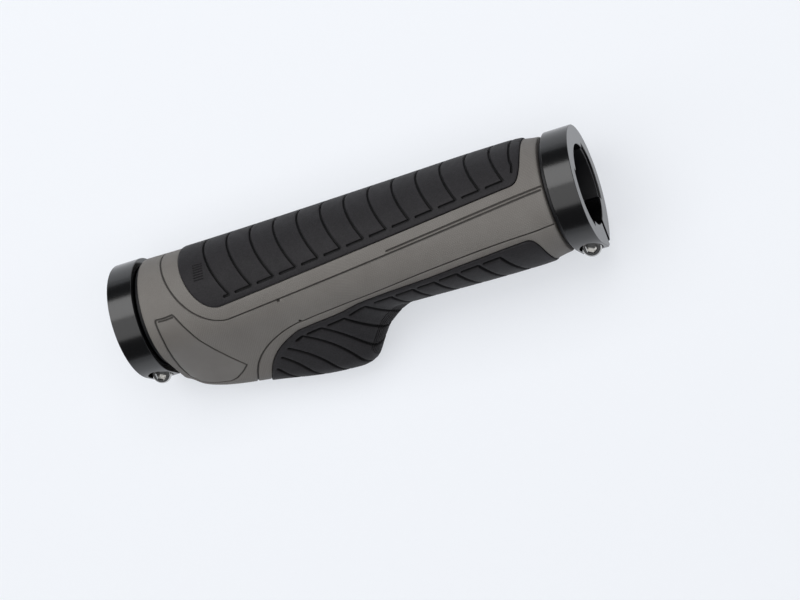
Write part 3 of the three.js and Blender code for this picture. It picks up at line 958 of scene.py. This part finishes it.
def ring_outline():
    """The ring's section: its outside from the lug round to the facet, and back round the notched bore."""
    lug_tip, head_tip, bore_tip = (
        math.degrees(math.asin(SPLIT / 2 / radius))
        for radius in (RING_RADIUS + LUG_PROUD, RING_RADIUS + FACET_PROUD, BORE_RADIUS)
    )
    first_step = 2
    outside = [polar(RING_RADIUS + LUG_PROUD, lug_tip)]
    for angle in np.linspace(lug_tip + first_step, 360 - head_tip - first_step, RING_STEPS):
        outside.append(polar(ring_outside(angle if angle < 180 else angle - 360), angle))
    outside.append(polar(RING_RADIUS + FACET_PROUD, -head_tip))
    stops = [360 - bore_tip, 270 + NOTCH_HALF, 270 - NOTCH_HALF, 90 + NOTCH_HALF, 90 - NOTCH_HALF, bore_tip]
    radii = [BORE_RADIUS, TAB_RADIUS + SEAT_GAP, BORE_RADIUS, TAB_RADIUS + SEAT_GAP, BORE_RADIUS]
    inside = []
    for start, end, radius in zip(stops[:-1], stops[1:], radii):
        inside += [polar(radius, angle) for angle in np.linspace(start, end, int((start - end) / 3) + 2)]
    return np.array(outside + inside)


def clamp_ring():
    """An open collar: an extruded section, bored for its screw."""
    width = RING_OUTER - RING_INNER
    ring = extruded("ring_anodised", ring_outline(), width)
    hole = [[-RING_RADIUS, SHANK_RADIUS + SEAT_GAP], [HEAD_SEAT + 1, SHANK_RADIUS + SEAT_GAP]]
    seat = [[HEAD_SEAT, HEAD_RADIUS + SEAT_GAP], [HEAD_SEAT + RING_RADIUS, HEAD_RADIUS + SEAT_GAP]]
    for profile in (hole, seat):
        ring = joined(ring, on_screw_line(turned("cutter", profile, 64, True)), "DIFFERENCE")
    return rim_rounded(ring, (-width / 2, width / 2), RING_RIM)


def clamp_screw():
    """A socket cap screw: a turned head with a hexagon socket, and a shank with thread grooves."""
    seat = HEAD_SEAT + SEAT_GAP
    top = seat + HEAD_HEIGHT
    tip = seat - SCREW_LENGTH
    profile = [[tip, TIP_RADIUS], [tip + TIP_CHAMFER, SHANK_RADIUS]]
    for i in range(int(THREAD_LENGTH / THREAD_PITCH)):
        crest = tip + TIP_CHAMFER + i * THREAD_PITCH
        profile += [[crest + THREAD_PITCH / 2, THREAD_ROOT], [crest + THREAD_PITCH, SHANK_RADIUS]]
    profile += [[seat, SHANK_RADIUS], [seat, HEAD_RADIUS - HEAD_BREAK], [seat + HEAD_BREAK, HEAD_RADIUS]]
    for turn in np.radians([0, 22.5, 45, 67.5, 90]):
        back, inward = HEAD_ROUND * (1 - math.sin(turn)), HEAD_ROUND * (1 - math.cos(turn))
        profile.append([top - back, HEAD_RADIUS - inward])
    screw = turned("screw_stainless", profile, 48, True)
    socket = [
        [top - SOCKET_DEPTH, SOCKET_RADIUS],
        [top - SOCKET_LEAD, SOCKET_RADIUS],
        [top + SOCKET_LEAD, SOCKET_RADIUS + 2 * SOCKET_LEAD],
    ]
    return on_screw_line(joined(screw, turned("socket", socket, 6, True), "DIFFERENCE"))


def core_sleeve(material):
    """A tube with a flange at each end, and two tabs past each flange that key into the ring."""
    half = [
        [FLANGE_INNER, SLEEVE_RADIUS],
        [FLANGE_INNER, FLANGE_RADIUS - SLEEVE_LIP],
        [FLANGE_INNER + SLEEVE_LIP, FLANGE_RADIUS],
        [FLANGE_OUTER - SLEEVE_LIP, FLANGE_RADIUS],
        [FLANGE_OUTER, FLANGE_RADIUS - SLEEVE_LIP],
        [FLANGE_OUTER, BORE_RADIUS + SLEEVE_LIP],
        [FLANGE_OUTER - SLEEVE_LIP, BORE_RADIUS],
    ]
    mirrored = [[-x, radius] for x, radius in reversed(half)]
    sleeve = turned("sleeve_black_nylon", mirrored + half + mirrored[:1], 120, False)
    angles = np.linspace(90 - TAB_HALF, 90 + TAB_HALF, 28)
    corners = [polar(TAB_RADIUS, angle) for angle in angles]
    corners += [polar(BORE_RADIUS + TAB_ABOVE_BORE, angle) for angle in angles[::-1]]
    tab = extruded("tab", eased(np.array(corners), TAB_CORNER), TAB_END - TAB_START)
    for end in (1, -1):
        for turn in (0, 180):
            copy = placed_copy(tab, "tab_copy", end * (TAB_START + TAB_END) / 2, turn)
            sleeve = joined(sleeve, copy, "UNION")
    bpy.data.objects.remove(tab)
    return settle(sleeve, material, "core_sleeve", smooth=30, even_shading=True)


# Materials


def linear(hex_colour):
    """An sRGB hex colour as linear red, green, blue and 1."""
    values = [int(hex_colour[i : i + 2], 16) / 255 for i in (1, 3, 5)]
    return [v / 12.92 if v <= 0.04045 else ((v + 0.055) / 1.055) ** 2.4 for v in values] + [1.0]


def add_node(tree, kind, settings=None, links=None):
    """Adds a shader node, sets its properties and input values, and links its inputs."""
    node = tree.nodes.new(kind)
    for key, value in (settings or {}).items():
        if isinstance(key, int) or key in node.inputs:
            node.inputs[key].default_value = value
        else:
            setattr(node, key, value)
    for key, source in (links or {}).items():
        tree.links.new(source, node.inputs[key])
    return node


def new_material(name, settings):
    """A material, its node tree, and its shader with the values that are the same all over."""
    material = bpy.data.materials.new(name)
    material.use_nodes = True
    shader = material.node_tree.nodes["Principled BSDF"]
    for key, value in settings.items():
        shader.inputs[key].default_value = value
    return material, material.node_tree, shader


# The colour sockets of a Mix node
COLOUR_A, COLOUR_B, COLOUR_OUT = 6, 7, 2


def layered(tree, base, layers):
    """A colour built up in layers, each a hex colour and the output that says how much of it shows."""
    colour = None
    for cover, share in layers:
        settings = {"data_type": "RGBA", COLOUR_A: linear(base), COLOUR_B: linear(cover)}
        mix = add_node(tree, "ShaderNodeMix", settings, {"Factor": share})
        if colour:
            tree.links.new(colour, mix.inputs[COLOUR_A])
        colour = mix.outputs[COLOUR_OUT]
    return colour


def grain(tree, width, detail=2.0, low=0.0, high=1.0):
    """Noise over the piece whose largest grains are about so many millimetres wide, from low to high."""
    place = add_node(tree, "ShaderNodeTexCoord").outputs["Object"]
    settings = {"Scale": 1 / (width * MM), "Detail": detail}
    cloud = add_node(tree, "ShaderNodeTexNoise", settings, {"Vector": place})
    settings = {"To Min": low, "To Max": high}
    return add_node(tree, "ShaderNodeMapRange", settings, {"Value": cloud.outputs["Fac"]}).outputs["Result"]


def surfaced(tree, shader, roughness, height, depth):
    """Sets a shader's roughness, and bumps whose full height stands so many millimetres."""
    bump = add_node(tree, "ShaderNodeBump", {"Strength": 1.0, "Distance": depth * MM}, {"Height": height})
    tree.links.new(roughness, shader.inputs["Roughness"])
    tree.links.new(bump.outputs["Normal"], shader.inputs["Normal"])


# A wave texture repeats every 0.314 of its coordinate, divided by its scale
WAVE_PERIOD = 0.314


def cross_hatch(tree, pitch, slant):
    """Two sets of fine ridges over the unrolled surface, crossing at a slant to the bar. 1 is a ridge."""
    unrolled = add_node(tree, "ShaderNodeUVMap", {"uv_map": "unrolled"}).outputs["UV"]
    waves = []
    for turn in (slant, -slant):
        settings = {"Rotation": (0, 0, math.radians(turn))}
        slanting = add_node(tree, "ShaderNodeMapping", settings, {"Vector": unrolled}).outputs["Vector"]
        wave = add_node(tree, "ShaderNodeTexWave", {"Scale": WAVE_PERIOD / pitch}, {"Vector": slanting})
        waves.append(wave.outputs["Fac"])
    return add_node(tree, "ShaderNodeMath", {"operation": "MULTIPLY"}, dict(enumerate(waves))).outputs[0]


def moulded_grey_rubber():
    """Grey thermoplastic rubber from a mould etched with a fine cross-hatch, polished on the two panels. It
    is matt and faintly clouded, and its grooves are darkened with painted shade."""
    material, tree, shader = new_material("moulded_grey_rubber", {"IOR": 1.5})
    sunk = add_node(tree, "ShaderNodeAttribute", {"attribute_name": "sunk"}).outputs["Fac"]
    plain = add_node(tree, "ShaderNodeAttribute", {"attribute_name": "plain"}).outputs["Fac"]
    etched = add_node(tree, "ShaderNodeMath", {"operation": "SUBTRACT", 0: 1.0}, {1: plain}).outputs[0]
    hatch = cross_hatch(tree, pitch=0.55, slant=33)
    hatched = add_node(tree, "ShaderNodeMath", {"operation": "MULTIPLY"}, {0: hatch, 1: etched}).outputs[0]
    ridges = add_node(tree, "ShaderNodeMapRange", {"To Max": 0.22}, {"Value": hatched}).outputs["Result"]
    clouds = grain(tree, 9, 4.0, -0.4, 1.4)
    # The last layer is painted shade, darkening each groove by how deep it is sunk
    colour = layered(tree, "#696561", [("#73706c", clouds), ("#928e89", ridges), ("#2a2724", sunk)])
    tree.links.new(colour, shader.inputs["Base Color"])
    settings = {"To Min": 0.68, "To Max": 0.5}
    roughness = add_node(tree, "ShaderNodeMapRange", settings, {"Value": plain}).outputs["Result"]
    links = {0: hatched, 1: grain(tree, 0.22, high=0.5)}
    height = add_node(tree, "ShaderNodeMath", {"operation": "ADD"}, links).outputs[0]
    surfaced(tree, shader, roughness, height, 0.035)
    return material


def moulded_black_rubber():
    """Softer black rubber, moulded matt with a fine grain that lifts the light a little. Its rib grooves
    are darkened with painted shade.
    """
    settings = {"IOR": 1.5, "Specular IOR Level": 0.25}
    material, tree, shader = new_material("moulded_black_rubber", settings)
    sunk = add_node(tree, "ShaderNodeAttribute", {"attribute_name": "sunk"}).outputs["Fac"]
    clouds, specks = grain(tree, 6, 4.0, -0.4, 1.4), grain(tree, 0.4, 3.0, -0.5, 1.0)
    # The last layer is painted shade, darkening each rib groove by how deep it is sunk
    colour = layered(tree, "#1b1a1c", [("#222123", clouds), ("#302e31", specks), ("#0d0d0e", sunk)])
    tree.links.new(colour, shader.inputs["Base Color"])
    surfaced(tree, shader, grain(tree, 2.5, low=0.55, high=0.72), grain(tree, 0.35, 3.0), 0.04)
    return material


def turning_marks(tree, pitch):
    """Fine lines left by a lathe: rings about the bar on the round face, circles on the end faces."""
    place = add_node(tree, "ShaderNodeTexCoord").outputs["Object"]
    settings = {"Location": (0, -REST.translation.y, -REST.translation.z)}
    centred = add_node(tree, "ShaderNodeMapping", settings, {"Vector": place}).outputs["Vector"]
    settings = {"operation": "MULTIPLY", 1: (0, 1, 1)}
    across = add_node(tree, "ShaderNodeVectorMath", settings, {0: centred}).outputs["Vector"]
    radius = add_node(tree, "ShaderNodeVectorMath", {"operation": "LENGTH"}, {0: across}).outputs["Value"]
    along = add_node(tree, "ShaderNodeSeparateXYZ", {}, {"Vector": centred}).outputs["X"]
    feed = add_node(tree, "ShaderNodeMath", {"operation": "ADD"}, {0: radius, 1: along}).outputs[0]
    settings = {"noise_dimensions": "1D", "Scale": 1 / (pitch * MM), "Detail": 3.0}
    return add_node(tree, "ShaderNodeTexNoise", settings, {"W": feed}).outputs["Fac"]


def black_anodised_aluminium():
    """Turned aluminium under a glossy black-dyed oxide. What shines is the clear oxide, so it isn't a metal
    to the eye, and its index is that of alumina."""
    settings = {"Base Color": linear("#060607"), "IOR": 1.62, "Metallic": 0.0}
    material, tree, shader = new_material("black_anodised_aluminium", settings)
    marks = turning_marks(tree, pitch=0.16)
    settings = {"To Min": 0.15, "To Max": 0.22}
    roughness = add_node(tree, "ShaderNodeMapRange", settings, {"Value": marks}).outputs["Result"]
    surfaced(tree, shader, roughness, marks, 0.0012)
    return material


def bright_stainless_steel():
    """Polished stainless steel with faint handling marks."""
    material, tree, shader = new_material("bright_stainless_steel", {"Metallic": 1.0})
    colour = layered(tree, "#b9b9b8", [("#d2d1ce", grain(tree, 1.5, 3.0))])
    tree.links.new(colour, shader.inputs["Base Color"])
    surfaced(tree, shader, grain(tree, 0.6, 4.0, 0.08, 0.24), grain(tree, 0.5, 3.0), 0.004)
    return material


def black_moulded_nylon():
    """Glass-filled nylon: near black, satin, with the faint flow of its fibres."""
    settings = {"IOR": 1.53, "Specular IOR Level": 0.3}
    material, tree, shader = new_material("black_moulded_nylon", settings)
    colour = layered(tree, "#0e0e10", [("#18181b", grain(tree, 4, 3.0))])
    tree.links.new(colour, shader.inputs["Base Color"])
    surfaced(tree, shader, grain(tree, 0.8, 4.0, 0.38, 0.56), grain(tree, 0.3, 3.0), 0.01)
    return material


# The stage: a pale floor that turns up at its rim, two soft boxes overhead, and the photo's camera

PALE = "#f4f7fc"
OWN_LIGHT = 0.6
FLOOR_RADIUS = 3
FLOOR_RIM = 0.5


def matt_pale_paper():
    """Paper so evenly lit that most of its brightness is its own, and the rest keeps the shadow."""
    material, tree, shader = new_material("matt_pale_paper", {"Base Color": linear(PALE), "Roughness": 0.9})
    path = add_node(tree, "ShaderNodeLightPath").outputs
    seen = path["Is Camera Ray"]
    for other in ("Is Glossy Ray", "Is Transmission Ray"):
        links = {0: seen, 1: path[other]}
        seen = add_node(tree, "ShaderNodeMath", {"operation": "MAXIMUM"}, links).outputs[0]
    share = add_node(tree, "ShaderNodeMath", {"operation": "MULTIPLY", 1: OWN_LIGHT}, {0: seen}).outputs[0]
    glow = add_node(tree, "ShaderNodeEmission", {"Color": linear(PALE), "Strength": 1.0})
    links = {0: share, 1: shader.outputs["BSDF"], 2: glow.outputs["Emission"]}
    blend = add_node(tree, "ShaderNodeMixShader", {}, links)
    tree.links.new(blend.outputs["Shader"], tree.nodes["Material Output"].inputs["Surface"])
    return material


def soft_box(name, place, size, power):
    """A rectangular lamp that faces straight down."""
    data = bpy.data.lights.new(name, "AREA")
    data.shape = "RECTANGLE"
    data.size, data.size_y = size
    data.energy = power
    lamp = bpy.data.objects.new(name, data)
    lamp.location = place
    bpy.context.scene.collection.objects.link(lamp)


def stage():
    """The floor, the room's faint light and the lamps."""
    bpy.ops.object.select_all(action="DESELECT")
    bpy.ops.mesh.primitive_circle_add(vertices=96, radius=FLOOR_RADIUS, fill_type="NGON")
    floor = only(bpy.context.object)
    floor.name = "floor"
    bpy.ops.object.mode_set(mode="EDIT")
    bpy.ops.mesh.select_all(action="SELECT")
    bpy.ops.mesh.select_mode(type="EDGE")
    bpy.ops.mesh.extrude_edges_move(TRANSFORM_OT_translate={"value": (0, 0, FLOOR_RIM)})
    bpy.ops.object.mode_set(mode="OBJECT")
    floor.data.materials.append(matt_pale_paper())

    world = bpy.data.worlds.new("dim_room")
    bpy.context.scene.world = world
    world.use_nodes = True
    background = world.node_tree.nodes["Background"].inputs
    background["Color"].default_value = linear(PALE)
    background["Strength"].default_value = 0.1

    soft_box("soft_box_far", place=(-0.1, 0.6, 1.0), size=(1.5, 0.95), power=11.5)
    soft_box("soft_box_near", place=(-0.1, -0.28, 1.0), size=(4.0, 0.75), power=11)


# The camera as it stood to the grip, in millimetres and degrees about the grip's own axis
CAMERA_PLACE = (192.036, -205.642, -597.228)
CAMERA_TURN = (155.6015, -8.7282, 21.3235)
FOCAL_PIXELS = 2423.4
FRAME_WIDTH_PIXELS = 800
SENSOR_WIDTH = 36


def photo_camera():
    """The camera at the photo's viewing angle."""
    data = bpy.data.cameras.new("camera")
    data.sensor_width = SENSOR_WIDTH
    data.lens = FOCAL_PIXELS / FRAME_WIDTH_PIXELS * SENSOR_WIDTH
    camera = bpy.data.objects.new("camera", data)
    turn = Euler([math.radians(angle) for angle in CAMERA_TURN]).to_matrix().to_4x4()
    camera.matrix_world = REST @ Matrix.Translation(Vector(CAMERA_PLACE) * MM) @ turn
    bpy.context.scene.collection.objects.link(camera)
    bpy.context.scene.camera = camera
    bpy.context.scene.view_settings.view_transform = "Standard"


photo_camera()
stage()
black_rubber = moulded_black_rubber()
anodised = black_anodised_aluminium()
stainless = bright_stainless_steel()

barrel_cuts = [grooves(barrel_ribs, BARREL_RIB), grooves(barrel_tiny_lines, TINY_LINE)]
wing_cuts = [grooves(wing_ribs, WING_RIB), grooves(wing_tiny_lines, TINY_LINE)]
pad("barrel_pad_ribbed", barrel_outline, barrel_cuts, "barrel_pad", black_rubber)
pad("wing_pad_ribbed", wing_outline, wing_cuts, "wing_pad", black_rubber)
grey_body(moulded_grey_rubber())
core_sleeve(black_moulded_nylon())
ring = clamp_ring()
screw = clamp_screw()
for end in (-1, 1):
    at_end(ring, end, anodised, "clamp_ring", smooth=30)
    at_end(screw, end, stainless, "clamp_screw", smooth=35)
for model in (ring, screw):
    bpy.data.objects.remove(model)
